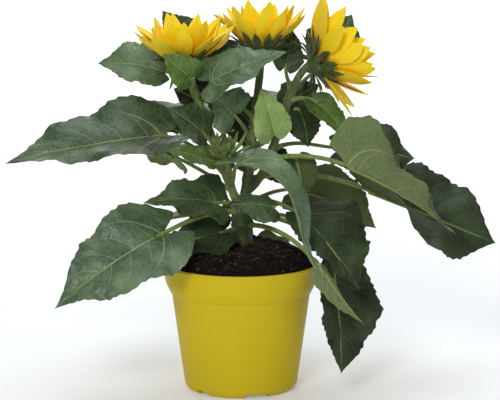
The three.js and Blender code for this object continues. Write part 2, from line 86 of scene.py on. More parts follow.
def square_to(axis, v):
    """The part of v that is square to axis, as a unit vector."""
    return unit(v - axis * (axis * v).sum(-1, keepdims=True))


def turned(v, axis, angle):
    """v turned about a unit axis that is square to it, by an angle in radians."""
    return v * np.cos(angle)[..., None] + np.cross(axis, v) * np.sin(angle)[..., None]


def scatter(i, salt):
    """A repeatable scatter of numbers from -1 to 1."""
    x = np.sin(i * 12.9898 + salt * 78.233) * 43758.5453
    return 2 * (x - np.floor(x)) - 1


def smooth_noise(p, size, salt):
    """A smooth, repeatable roughness from about -1 to 1, with lumps of about that size."""
    total = 0
    for i in range(NOISE_WAVES):
        way = unit(np.array([scatter(i, salt), scatter(i, salt + 0.3), scatter(i, salt + 0.7)]))
        pace = math.pi / size * (0.7 + 0.5 * abs(scatter(i, salt + 0.5)))
        total = total + np.sin(p @ way * pace + 9 * scatter(i, salt + 0.9))
    return total / 4


class Curve:
    """A cubic Bezier curve."""

    def __init__(self, *controls):
        self.p = [np.array(c, float) for c in controls]

    def at(self, t):
        t = np.asarray(t, float)[..., None]
        a, b, c, d = self.p
        return (1 - t) ** 3 * a + 3 * (1 - t) ** 2 * t * b + 3 * (1 - t) * t**2 * c + t**3 * d

    def tangent(self, t):
        t = np.asarray(t, float)[..., None]
        a, b, c, d = self.p
        return unit((1 - t) ** 2 * (b - a) + 2 * (1 - t) * t * (c - b) + t**2 * (d - c))


class Piece:
    """Grids of points that become one mesh. Each grid has its own cell of the piece's picture."""

    def __init__(self, name):
        self.name = name
        self.count = 0
        self.points = []
        self.quads = []
        self.places = []
        self.slots = []
        self.marks = []

    def add(self, grid, cell=(0, 0, 1, 1), slot=0, around=True, mark=(0.0, 0.0, 0.0)):
        """around joins the last column to the first. mark holds three numbers for each point, for the
        material to read."""
        rows, columns = grid.shape[:2]
        index = self.count + np.arange(rows * columns).reshape(rows, columns)
        steps = columns if around else columns - 1
        i, j = np.mgrid[0:rows - 1, 0:steps]
        k = (j + 1) % columns
        self.quads.append(
            np.stack([index[i, j], index[i, k], index[i + 1, k], index[i + 1, j]], -1).reshape(-1, 4))
        left, low, right, high = cell
        across = left + (right - left) * np.stack([j, j + 1, j + 1, j], -1) / steps
        along = low + (high - low) * np.stack([i, i, i + 1, i + 1], -1) / (rows - 1)
        self.places.append(np.stack([across, along], -1).reshape(-1, 2))
        self.slots.append(np.full(i.size, slot))
        self.points.append(grid.reshape(-1, 3))
        self.marks.append(np.broadcast_to(mark, grid.shape).reshape(-1, 3))
        self.count += rows * columns

    def make(self, materials, slot, *nodes):
        """The mesh, riding on the part, in place of these CAD nodes."""
        quads = np.concatenate(self.quads)
        mesh = bpy.data.meshes.new(self.name)
        mesh.vertices.add(self.count)
        mesh.vertices.foreach_set("co", (np.concatenate(self.points) * MM).ravel())
        mesh.loops.add(quads.size)
        mesh.loops.foreach_set("vertex_index", quads.ravel())
        mesh.polygons.add(len(quads))
        mesh.polygons.foreach_set("loop_start", np.arange(0, quads.size, 4))
        mesh.polygons.foreach_set("material_index", np.concatenate(self.slots))
        mesh.uv_layers.new(name=PICTURE_MAP).data.foreach_set("uv", np.concatenate(self.places).ravel())
        marks = mesh.attributes.new("mark", "FLOAT_VECTOR", "POINT")
        marks.data.foreach_set("vector", np.concatenate(self.marks).ravel())
        mesh.update(calc_edges=True)
        mesh.shade_smooth()
        for material in materials:
            mesh.materials.append(material)
        thing = bpy.data.objects.new(self.name, mesh)
        bpy.context.scene.collection.objects.link(thing)
        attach(thing, "root")
        if nodes:
            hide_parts(*nodes)
        return thing


def cells(count):
    """Equal cells of a picture, with room between them."""
    across = math.ceil(math.sqrt(count))
    room = CELL_ROOM / across
    for i in range(count):
        left, low = i % across / across, i // across / across
        yield left + room, low + room, left + 1 / across - room, low + 1 / across - room


def normals(grid):
    """Unit normals of a grid whose columns run from left to right as its rows run away."""
    lengthwise = np.gradient(grid, axis=0)
    crosswise = np.gradient(grid, axis=1)
    n = np.cross(crosswise, lengthwise)
    return n / np.maximum(np.linalg.norm(n, axis=-1, keepdims=True), 1e-9)


def add_sheet(piece, middle, thick, top_cell, under_cell, top_mark, under_mark):
    """A closed thin sheet about a grid."""
    away = normals(middle) * thick / 2
    top, under = middle + away, middle - away
    piece.add(top, top_cell, around=False, mark=top_mark)
    piece.add(under[:, ::-1], under_cell, around=False, mark=under_mark[:, ::-1])

    def edge(a):
        return np.concatenate([a[0, :-1], a[:-1, -1], a[-1, :0:-1], a[:0:-1, 0]])

    left, low, right, _ = under_cell
    rim, rim_cell = np.stack([edge(under), edge(top)]), (left, low - RIM_STRIP, right, low)
    piece.add(rim, rim_cell, mark=np.stack([edge(under_mark)] * 2))


def tube(curve, ts, radii, sides, bumps=None):
    """A round limb along a curve. bumps(t, angle) adds to its radius as a share of it."""
    line, along = curve.at(ts), curve.tangent(ts)
    aside = np.array([0, 0, 1] if abs(along[0, 2]) < 0.7 else [1, 0, 0])
    across = [square_to(along[0], aside)]
    for way in along[1:]:
        across.append(square_to(way, across[-1]))
    across = np.array(across)
    deep = np.cross(along, across)
    angle = full_turn(sides)
    t, a = np.meshgrid(ts, angle, indexing="ij")
    r = np.asarray(radii, float)[:, None] * (1 + (bumps(t, a) if bumps else 0 * a))
    return line[:, None] + r[..., None] * (
        across[:, None] * np.cos(angle)[:, None] + deep[:, None] * np.sin(angle)[:, None])


def full_turn(steps):
    """Angles all the way round, in radians."""
    return np.linspace(0, 2 * math.pi, steps, endpoint=False)


def lathe(outline, facets):
    """A round grid from (radius, height) pairs that run up the outside."""
    r, z = np.array(outline, float).T
    a = full_turn(facets)
    return np.stack([r[:, None] * np.cos(a), r[:, None] * np.sin(a), z[:, None] + 0 * a], -1)


# ---- materials


def linear(level):
    """The light of a screen level, 0 to 255."""
    return ((level / 255 + 0.055) / 1.055) ** 2.4 if level > 10 else level / 255 / 12.92


class Look:
    """A material, with short ways to add the nodes of its pattern. Colours are told in screen levels."""

    def __init__(self, name, **sockets):
        self.material = bpy.data.materials.new(name)
        self.material.use_nodes = True
        self.tree = self.material.node_tree
        self.shader = self.tree.nodes["Principled BSDF"]
        for socket, value in sockets.items():
            self.put(self.shader.inputs[socket.replace("_", " ")], value)

    def put(self, socket, value):
        if isinstance(value, bpy.types.NodeSocket):
            self.tree.links.new(value, socket)
        elif socket.type == "RGBA":
            socket.default_value = (*map(linear, value), 1)
        else:
            socket.default_value = value

    def node(self, kind, inputs, **settings):
        """A node with values or links in its inputs, which are told by number or name."""
        made = self.tree.nodes.new("ShaderNode" + kind)
        for key, value in settings.items():
            setattr(made, key, value)
        for key, value in inputs.items():
            self.put(made.inputs[key], value)
        return made

    def maths(self, operation, *values):
        return self.node("Math", dict(enumerate(values)), operation=operation).outputs[0]

    def times(self, a, b):
        return self.maths("MULTIPLY", a, b)

    def fade(self, value, low, high, start=0, end=1):
        """start where value is under low, end where it is over high, and smooth between."""
        values = dict(enumerate((value, low, high, start, end)))
        return self.node("MapRange", values, interpolation_type="SMOOTHSTEP").outputs[0]

    def mix(self, share, a, b):
        return self.node("Mix", {0: share, 6: a, 7: b}, data_type="RGBA").outputs[2]

    def marks(self):
        vector = self.node("Attribute", {}, attribute_name="mark").outputs["Vector"]
        return vector, *self.node("SeparateXYZ", {0: vector}).outputs

    def place(self):
        return self.node("TexCoord", {}).outputs["Object"]

    def stretched(self, vector, by):
        return self.node("VectorMath", {0: vector, 1: by}, operation="MULTIPLY").outputs[0]

    def noise(self, vector, scale, detail=3, roughness=0.55):
        values = dict(Vector=vector, Scale=scale, Detail=detail, Roughness=roughness)
        return self.node("TexNoise", values).outputs[0]

    def cell_edges(self, vector, scale):
        values = dict(Vector=vector, Scale=scale)
        return self.node("TexVoronoi", values, feature="DISTANCE_TO_EDGE").outputs["Distance"]

    def rough(self, value):
        self.put(self.shader.inputs["Roughness"], value)

    def colour(self, value):
        self.put(self.shader.inputs["Base Color"], value)

    def bump(self, height, distance, strength):
        made = self.node("Bump", dict(Height=height, Distance=distance, Strength=strength))
        self.put(self.shader.inputs["Normal"], made.outputs[0])


UNDERSIDE = 10  # what the marks of a leaf's underside add to u
VEINS = 6.2  # side veins in the length of a blade
ARC_START, ARC_SWEEP = 0.03, 0.46  # the long vein that leaves the stalk and runs beside the margin
RIB_EDGE = (0.009, 0.022)  # where the midrib's colour starts and ends to fade, in shares of half the width
SIDE_EDGE = (0.008, 0.026)  # the same for a side vein, in shares of the room between two
ARC_EDGE = (0.003, 0.01)  # the same for the long vein, in shares of the length
NET_SCALE, FINE_SCALE = 170, 480  # cells of the net of small veins, and of its finer one, in a metre

# The colours of a leaf's top where it is dark and light, of its underside and of its veins. The light
# colour is greyed and blued to stand for the sheen of a waxy top, a painted sheen. Then how rough its top
# is where it is smoothest and roughest, and its specular level.
LEAF_KINDS = {
    "green": ((44, 62, 34), (76, 97, 60), (110, 125, 82), (152, 167, 112), (0.46, 0.6), 0.22),
    "glossy": ((42, 61, 33), (76, 97, 61), (106, 122, 78), (154, 169, 114), (0.33, 0.5), 0.48),
    # dark: the leaf colours darkened for leaves that lie in the plant's shade, a painted shade.
    "dark": ((32, 45, 24), (50, 66, 34), (80, 92, 50), (92, 106, 62), (0.5, 0.66), 0.3),
    # pale: the leaf colours lightened and blued, standing for the bluish sheen and the light on these
    # leaves: painted sheen and painted light.
    "pale": ((60, 84, 54), (104, 127, 90), (124, 140, 98), (170, 184, 132), (0.36, 0.52), 0.46),
    "fresh": ((60, 88, 32), (90, 118, 48), (112, 132, 74), (156, 172, 100), (0.4, 0.55), 0.3),
    # young: the pale green of a young leaf, made about a quarter lighter to make up for the shade it lies
    # in: partly its own colour, partly painted light.
    "young": ((128, 156, 86), (166, 188, 118), (168, 184, 124), (204, 216, 160), (0.6, 0.7), 0.3),
}


def leaf_look(name, dark, light, under, vein, gloss, specular):
    """Marks: u across the blade (from -1 to 1, with UNDERSIDE added on the underside), the place among
    the side veins, and the distance from the stalk in shares of the length."""
    look = Look(f"leaf_{name}", Specular_IOR_Level=specular, Sheen_Weight=0.03, Sheen_Roughness=0.4)
    _, mark_u, row, s = look.marks()
    below = look.maths("GREATER_THAN", mark_u, UNDERSIDE / 2)
    reach = look.maths("ABSOLUTE", look.maths("SUBTRACT", mark_u, look.times(below, UNDERSIDE)))

    away = look.maths("ABSOLUTE", look.maths("SUBTRACT", look.maths("FRACT", row), 0.5))
    side = look.times(look.fade(away, *SIDE_EDGE, 0.6, 0), look.fade(reach, 0.3, 1, 1, 0.2))
    side = look.times(side, look.fade(s, 0, 0.06))
    beyond = look.maths("SUBTRACT", s, ARC_START)
    arc = look.maths("MULTIPLY_ADD", look.maths("POWER", reach, 1.5), -ARC_SWEEP, beyond)
    arc = look.times(look.fade(look.maths("ABSOLUTE", arc), *ARC_EDGE, 0.8, 0),
                     look.fade(reach, 0.45, 0.95, 1, 0.1))
    rib = look.fade(look.times(reach, look.fade(s, 0, 1, 1, 0.35)), *RIB_EDGE, 1, 0)
    veins = look.maths("MAXIMUM", rib, look.maths("MAXIMUM", side, arc))

    place = look.place()
    net = look.cell_edges(place, NET_SCALE)
    threads = look.fade(net, 0, 0.16, 1, 0)
    # patches mix the top from its dark colour to its light one. This is partly tone that differs at random,
    # partly the painted sheen that the light colour stands for. The underside takes a little of the same.
    patches = look.noise(place, 32, 4)
    top = look.mix(look.fade(patches, 0.35, 0.68), dark, light)
    top = look.mix(look.times(threads, 0.07), top, vein)
    top = look.mix(look.times(veins, 0.62), top, vein)
    low = look.mix(look.fade(patches, 0.3, 0.7, 0, 0.35), under, light)
    low = look.mix(look.times(threads, 0.16), low, vein)
    low = look.mix(look.times(veins, 0.85), low, vein)
    look.colour(look.mix(below, top, low))

    shine = look.fade(look.noise(place, 90, 3), 0.3, 0.7, *gloss)
    look.rough(look.maths("MAXIMUM", shine, look.times(below, 0.8)))
    pillows = look.maths("MINIMUM", net, 0.35)
    look.bump(look.maths("MULTIPLY_ADD", look.cell_edges(place, FINE_SCALE), 0.2, pillows), 0.0016, 0.4)
    return look.material


def stalk_look(name, pale, dark, blush=None):
    """A green with streaks along Z, for stalks, stems and bracts. blush lies on it in soft patches."""
    look = Look(name, Roughness=0.55, Specular_IOR_Level=0.4, Sheen_Weight=0.12, Sheen_Roughness=0.5)
    place = look.place()
    streaks = look.noise(look.stretched(place, (900, 900, 60)), 1, 3)
    colour = look.mix(look.fade(streaks, 0.35, 0.7), pale, dark)
    if blush:
        colour = look.mix(look.fade(look.noise(place, 45, 2), 0.5, 0.75, 0, 0.7), colour, blush)
    look.colour(colour)
    look.bump(look.maths("ADD", streaks, look.noise(place, 1500, 1)), 0.0005, 0.5)
    return look.material


def petal_look(name, root, middle, tip):
    """Marks: distance along the petal, place across it, and a shade of its own."""
    look = Look(name, Roughness=0.5, Specular_IOR_Level=0.3, Sheen_Weight=0.15, Sheen_Roughness=0.4)
    vector, s, _, shade = look.marks()
    colour = look.mix(look.fade(s, 0.02, 0.45), root, middle)
    colour = look.mix(look.fade(s, 0.4, 1), colour, tip)
    streaks = look.noise(look.stretched(vector, (2, 9, 7)), 1, 3)
    colour = look.mix(look.fade(streaks, 0.42, 0.75, 0, 0.3), colour, root)
    colour = look.mix(look.fade(shade, 0.2, 1, 0, 0.15), colour, root)
    look.colour(colour)
    look.bump(look.noise(look.stretched(vector, (3, 26, 7)), 1, 2), 0.0006, 0.5)
    return look.material


def plain(name, colour, roughness, **more):
    return Look(name, Base_Color=colour, Roughness=roughness, **more).material


def soil_look():
    look = Look("peat", Specular_IOR_Level=0.15)
    place = look.place()
    lumps = look.noise(place, 420, 6, 0.7)
    colour = look.mix(look.fade(lumps, 0.35, 0.72), (14, 11, 10), (46, 33, 28))
    reds = look.fade(look.noise(place, 190, 3), 0.55, 0.8, 0, 0.8)
    look.colour(look.mix(reds, colour, (64, 42, 32)))
    look.rough(0.95)
    look.bump(look.maths("ADD", lumps, look.cell_edges(place, 700)), 0.003, 0.9)
    return look.material


def pot_look():
    look = Look("yellow_plastic", Specular_IOR_Level=0.06)
    place = look.place()
    cloud = look.fade(look.noise(place, 14, 2), 0.3, 0.7, 0, 0.5)
    look.colour(look.mix(cloud, (208, 184, 36), (199, 173, 28)))
    look.rough(look.fade(look.noise(place, 90, 2), 0.3, 0.7, 0.38, 0.46))
    look.bump(look.noise(place, 2600, 2), 0.0002, 0.25)
    return look.material


leaf_looks = {name: leaf_look(name, *told) for name, told in LEAF_KINDS.items()}
stalk_green = stalk_look("stalk_green", (128, 146, 74), (96, 118, 52))
stem_pale = stalk_look("stem_pale", (138, 152, 92), (104, 122, 62))
# stem_green is darker than stem_pale. On the right stem, which lies in the shade of the leaves, it stands
# partly for that shade: painted shade.
stem_green = stalk_look("stem_green", (94, 106, 58), (64, 78, 40))
# The main stem's look is the stem green darkened for the plant's shade it stands in, a painted shade, with
# soft brown patches laid on it.
stem_dark = stalk_look("stem_dark", (74, 86, 40), (42, 54, 24), (46, 36, 26))
petal_yellow = petal_look("petal_yellow", (246, 186, 8), (255, 218, 16), (255, 228, 32))
bract_green = stalk_look("bract_green", (84, 102, 44), (44, 58, 26))
bud_green = stalk_look("bud_green", (150, 168, 96), (104, 124, 60))
sprig_green = stalk_look("sprig_green", (110, 132, 66), (70, 92, 42))

# ---- pot and soil

POT_HEIGHT = round(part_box("pot")[1].z / MM, 1)
RIM_RADIUS = 65
COLLAR = POT_HEIGHT - 16  # lower end of the collar's straight side
CHAMFER = POT_HEIGHT - 24.6  # lower edge of the collar
WALL = 1.6
NECK_RADIUS = 57.6  # outside of the wall right under the collar
FOOT_RADIUS = 47  # outside of the wall at the bottom
FOOT_BEVEL = 5  # height where the wall leaves the foot's bevel
FOOT_RING = 43
FLOOR_UNDERSIDE = 4  # height of the floor's underside in the drain channel
BOSS_RADIUS = 13
POT_FACETS = 144
FRONT_NOTCH = 287  # turn of the wide notch in the foot ring
NOTCHES = 6
NOTCH_HEIGHT, NOTCH_DEPTH, NOTCH_WIDTH, WIDE_NOTCH = 3.8, 14, 12, 20
DRAIN_HOLES = 4
DRAIN_CIRCLE, DRAIN_RADIUS = 27, 4
SOIL_RISE = 16  # top of the soil above the rim
SOIL_SHOULDER = 38  # radius where the soil starts to fall to the rim
SOIL_EDGE = RIM_RADIUS - 4.4
SOIL_FACETS = 300
CRUMBS, FIBRES = 1500, 650


def rounded(outline, radii, steps=4):
    """An outline with its corners rounded: radii holds one radius for each of its points."""
    points = np.array(outline, float)
    made = [points[0]]
    for before, corner, after, radius in zip(points, points[1:], points[2:], radii[1:-1]):
        a, b = before - corner, after - corner
        cut = min(radius, 0.45 * np.linalg.norm(a), 0.45 * np.linalg.norm(b))
        if cut < 0.01:
            made.append(corner)
            continue
        start, end = corner + unit(a) * cut, corner + unit(b) * cut
        for t in np.linspace(0, 1, steps):
            made.append((1 - t) ** 2 * start + 2 * (1 - t) * t * corner + t**2 * end)
    return made + [points[-1]]


def cut_away(thing, cutters):
    """Cuts the cutters out of a piece, and drops them."""
    for cutter in cutters:
        cut = thing.modifiers.new("cut", "BOOLEAN")
        cut.operation, cut.solver, cut.object = "DIFFERENCE", "EXACT", cutter
    bpy.context.view_layer.update()
    graph = bpy.context.evaluated_depsgraph_get()
    mesh = bpy.data.meshes.new_from_object(thing.evaluated_get(graph))
    thing.modifiers.clear()
    thing.data = mesh
    for cutter in cutters:
        bpy.data.objects.remove(cutter)


def wall(z):
    """Outer radius of the pot's wall at a height."""
    return FOOT_RADIUS + (NECK_RADIUS - FOOT_RADIUS) * (z - FOOT_BEVEL) / (CHAMFER - FOOT_BEVEL)


def on_circle(radius, turn, height):
    """A place in metres."""
    return radius * MM * math.cos(turn), radius * MM * math.sin(turn), height * MM


def make_pot():
    rim, top, floor = RIM_RADIUS, POT_HEIGHT, FLOOR_UNDERSIDE
    outline = [
        (0.01, 0), (BOSS_RADIUS, 0), (BOSS_RADIUS + 1, floor), (FOOT_RING - 3, floor), (FOOT_RING - 2.4, 0),
        (FOOT_RING, 0), (FOOT_RADIUS - 1.2, 2.2), (FOOT_RADIUS, FOOT_BEVEL), (wall(30), 30), (wall(55), 55),
        (NECK_RADIUS - 0.1, CHAMFER - 0.4), (NECK_RADIUS + 1.1, CHAMFER + 0.2), (rim - 2.3, COLLAR),
        (rim - 1.1, top - 8), (rim - 0.6, top - 3.4), (rim, top - 2.6), (rim, top - 0.9), (rim - 1.2, top),
        (rim - 2.7, top - 0.4), (rim - 3.2, top - 2), (rim - 4.8, COLLAR),
        (wall(CHAMFER) - WALL, CHAMFER - 2), (wall(8) - WALL, 8), (FOOT_RING - 2, floor + WALL),
        (0.01, floor + WALL),
    ]
    corners = [0, 0.8, 1, 1, 0.7, 1.2, 2, 2, 0, 0, 0.4, 0.8, 2.2, 3, 0.5, 0.8, 0.9, 0.9, 0.8, 1, 2, 2, 1,
               1, 0]
    pot = Piece("pot_body")
    pot.add(lathe(rounded(outline, corners), POT_FACETS))
    thing = pot.make([pot_look()], "pot", "pot")
    cutters = []
    for i in range(NOTCHES):
        turn = math.radians(FRONT_NOTCH + 360 / NOTCHES * i)
        width = NOTCH_WIDTH if i else WIDE_NOTCH
        bpy.ops.mesh.primitive_cube_add(size=1, location=on_circle(FOOT_RING, turn, 0))
        box = bpy.context.object
        box.scale = (NOTCH_DEPTH * MM, width * MM, 2 * NOTCH_HEIGHT * MM)
        box.rotation_euler = (0, 0, turn)
        cutters.append(box)
    for i in range(DRAIN_HOLES):
        turn = math.radians(360 / DRAIN_HOLES * (i + 0.5))
        bpy.ops.mesh.primitive_cylinder_add(vertices=32, radius=DRAIN_RADIUS * MM, depth=20 * MM,
                                            location=on_circle(DRAIN_CIRCLE, turn, floor))
        cutters.append(bpy.context.object)
    cut_away(thing, cutters)


def soil_surface(x, y):
    """The soil's height at a place: nearly level in the middle, falling to the rim, and lumpy."""
    radius = np.hypot(x, y)
    fall = np.clip((radius - SOIL_SHOULDER) / (RIM_RADIUS - 4 - SOIL_SHOULDER), 0, 1)
    crown = POT_HEIGHT + SOIL_RISE - 3 * np.minimum(radius / SOIL_SHOULDER, 1)
    p = np.stack([x, y, 0 * x], -1)
    lumps = 0.9 * smooth_noise(p, 9, 1) + 0.5 * smooth_noise(p, 3.6, 2) + 0.3 * smooth_noise(p, 1.6, 3)
    level = np.clip((SOIL_EDGE - radius) / 5, 0, 1)
    return crown - (SOIL_RISE - 2.5) * fall**2 - 0.9 + lumps * level


def spot_on_soil(rng, reach):
    """A random point of the soil's surface, within that reach of its middle."""
    radius = reach * math.sqrt(rng.random())
    turn = rng.random() * 2 * math.pi
    x, y = radius * math.cos(turn), radius * math.sin(turn)
    return np.array([x, y, soil_surface(x, y)])


def make_soil():
    radii = np.concatenate([[0.01], np.arange(0.7, SOIL_EDGE, 0.8), [SOIL_EDGE]])
    r, a = np.meshgrid(radii, full_turn(SOIL_FACETS), indexing="ij")
    x, y = r * np.cos(a), r * np.sin(a)
    top = np.stack([x, y, soil_surface(x, y)], -1)
    soil = Piece("soil_surface")
    soil.add(top[::-1], (0, 0.2, 1, 1))
    side = lathe([(0.01, FLOOR_UNDERSIDE + 1.9), (FOOT_RING - 2.6, FLOOR_UNDERSIDE + 1.9), (46, 12),
                  (55, CHAMFER - 4), (SOIL_EDGE - 1.4, COLLAR)], SOIL_FACETS)
    soil.add(np.concatenate([side, top[-1:]]), (0, 0, 1, 0.18))
    soil.make([soil_look()], "soil", "soil")


def make_crumbs(rng):
    crumbs = Piece("soil_crumbs")
    rise = np.linspace(-1.5, 1.5, 5)
    ball = lathe(np.stack([np.cos(rise), np.sin(rise)], -1), 6)
    for cell in cells(CRUMBS):
        spot = spot_on_soil(rng, SOIL_EDGE - 1.5)
        size = 0.45 + 1.5 * rng.random() ** 3
        squeeze = np.array([1, rng.uniform(0.6, 1), rng.uniform(0.45, 0.9)])
        spin = np.linalg.qr(rng.normal(size=(3, 3)))[0]
        spin = spin * np.sign(np.linalg.det(spin))
        lump = ball * squeeze * (1 + 0.35 * rng.uniform(-1, 1, ball.shape[:2])[..., None])
        middle = spot + np.array([0, 0, 0.25 * size])
        colour = rng.choice(3, p=[0.6, 0.3, 0.1])
        crumbs.add(middle + size * (lump @ spin), cell, colour)
    crumbs.make([plain("crumb_dark", (18, 14, 12), 0.95), plain("crumb_brown", (42, 30, 25), 0.95),
                 plain("crumb_red", (84, 56, 40), 0.9)], "soil")


def make_fibres(rng):
    fibres = Piece("soil_fibres")
    for cell in cells(FIBRES):
        foot = spot_on_soil(rng, SOIL_EDGE - 5) + np.array([0, 0, 0.1])
        way = unit(np.array([rng.normal(), rng.normal(), rng.uniform(-0.1, 0.35)]))
        length = rng.uniform(2, 8)
        bend = rng.normal(size=3) * length * 0.16
        rise = np.array([0, 0, rng.uniform(0.2, 1.0)])
        line = Curve(foot, foot + way * length * 0.3 + bend + rise, foot + way * length * 0.7 - bend + rise,
                     foot + way * length * [1, 1, 0.2])
        radii = np.linspace(1, 0.4, 6) * rng.uniform(0.08, 0.2)
        fibres.add(tube(line, np.linspace(0, 1, 6), radii, 3), cell, rng.integers(3))
    fibres.make([plain("fibre_red", (88, 54, 40), 0.8), plain("fibre_brown", (52, 36, 28), 0.9),
                 plain("fibre_pale", (136, 104, 80), 0.8)], "soil")


# ---- stems


class Stem:
    """A stem leaves its start in one direction and reaches its end in another."""

    def __init__(self, start, out, end, into, radii, look):
        start, end = np.array(start, float), np.array(end, float)
        self.curve = Curve(start, start + out, end - into, end)
        self.end = end
        self.length = np.linalg.norm(end - start)
        self.radii = radii
        self.look = look
        self.feet = []  # heights where stalks leave it

    def share_at(self, height):
        """The share of the curve that lies under a height."""
        low, high = 0, 1
        for _ in range(30):
            mid = (low + high) / 2
            if self.curve.at(mid)[2] < height:
                low = mid
            else:
                high = mid
        return low


stems = {
    "main": Stem((2, 0, 108), (0, 0, 18), (0, 0, 160), (-1, 0, 18), (7.2, 6.6), stem_dark),
    "left": Stem((-3, -1, 154), (-8, -1, 22), (-45, -8, 267), (-10, -2, 24), (3.5, 2.9), stem_pale),
    "middle": Stem((2, 1, 154), (5, 0, 28), (17, 8, 276), (3, 2, 30), (4.2, 2.9), stem_green),
    "right": Stem((5, 1, 165), (24, -2, 14), (56, 2, 269), (20, 0, 10), (3.6, 2.9), stem_green),
    "bud": Stem((-10, -2, 174), (2, -6, 10), (-11, -22, 196), (0, -3, 10), (2.4, 2.4), stem_pale),
}
STEM_STEP = 1.2
STEM_SIDES = 24
HAIRS_PER_MM = 5


def make_stem(name, stem, salt):
    ts = np.linspace(0, 1, max(int(stem.length / STEM_STEP), 24))
    feet = [stem.share_at(height) for height in stem.feet]

    def bumps(t, a):
        ridges = 0.035 * np.cos(7 * a + 2 * t) + 0.02 * np.cos(11 * a + salt)
        place = np.stack([np.cos(a), np.sin(a), t * stem.length / 9], -1)
        joints = sum(0.13 * np.exp(-(((t - foot) * stem.length / 2.4) ** 2)) for foot in feet)
        return ridges + 0.05 * smooth_noise(place, 1.4, salt) + joints

    piece = Piece(f"stem_{name}_skin")
    piece.add(tube(stem.curve, ts, np.linspace(*stem.radii, len(ts)), STEM_SIDES, bumps))
    piece.make([stem.look], "stem", f"stem_{name}")


def make_hairs():
    """Short pale hairs on the stems."""
    rng = np.random.default_rng(9)
    hairs = []
    for stem in stems.values():
        for _ in range(int(stem.length * HAIRS_PER_MM)):
            t = rng.random()
            along = stem.curve.tangent(t)
            away = square_to(along, rng.normal(size=3))
            radius = stem.radii[0] + (stem.radii[1] - stem.radii[0]) * t
            root = stem.curve.at(t) + away * radius * 0.97
            reach = (away + along * rng.uniform(-0.5, 0.3)) * rng.uniform(0.9, 2.1)
            line = Curve(root, root + reach * 0.3, root + reach * 0.7, root + reach)
            hairs.append(tube(line, [0, 1], [0.11, 0.03], 3))
    piece = Piece("stem_hairs")
    for hair, cell in zip(hairs, cells(len(hairs))):
        piece.add(hair, cell)
    piece.make([plain("hair_pale", (186, 198, 150), 0.6)], "stem")


# ---- leaves

LOBE = 0.16  # how far the lobes reach back past the stalk
STALK_END = 0.08  # where the stalk ends, under the midrib
RIB_END = 0.93  # where the ridge of the midrib ends
RIPPLES = 4.8  # half waves along each margin
FRILLS = 13  # the same, of the finer frill
BLADE_THICK = 0.34
CURL = -12  # how far both margins bend up, in degrees
VEIN_SWEEP = 0.27  # how far a side vein runs towards the tip on its way to the margin
ROW_STEP = 1.05  # room between two rows of a blade's mesh
TOP_CELL, UNDER_CELL = (0.02, 0.14, 0.48, 0.98), (0.52, 0.14, 0.98, 0.98)
STALK_CELL, RIB_CELL = (0.02, 0.07, 0.98, 0.12), (0.02, 0.01, 0.98, 0.05)


def leaf(name, stem, foot, base, tip, width, face, fold, look="dark", bow=(0.1, 0.08), flat=0.5,
         wave=0.05, shoulder=0.24, share=(1, 1), twist=0, lift=0.35, stalk=1.9):
    """A leaf's stalk leaves a stem at a height, its foot. Its blade runs from base to tip, and its top
    side has the azimuth and elevation of face. fold lifts both halves, or the left and right by its own
    two numbers. bow lifts the midrib at a third and two thirds of its length, flat lessens the fold
    towards the tip (below 0 it deepens it), and wave ripples both margins. shoulder is the widest place
    as a share of the length, share narrows the left and right halves, and twist turns the tip about the
    midrib. stalk is the stalk's radius, and lift is how far it climbs before it turns outwards."""
    return SimpleNamespace(**locals())
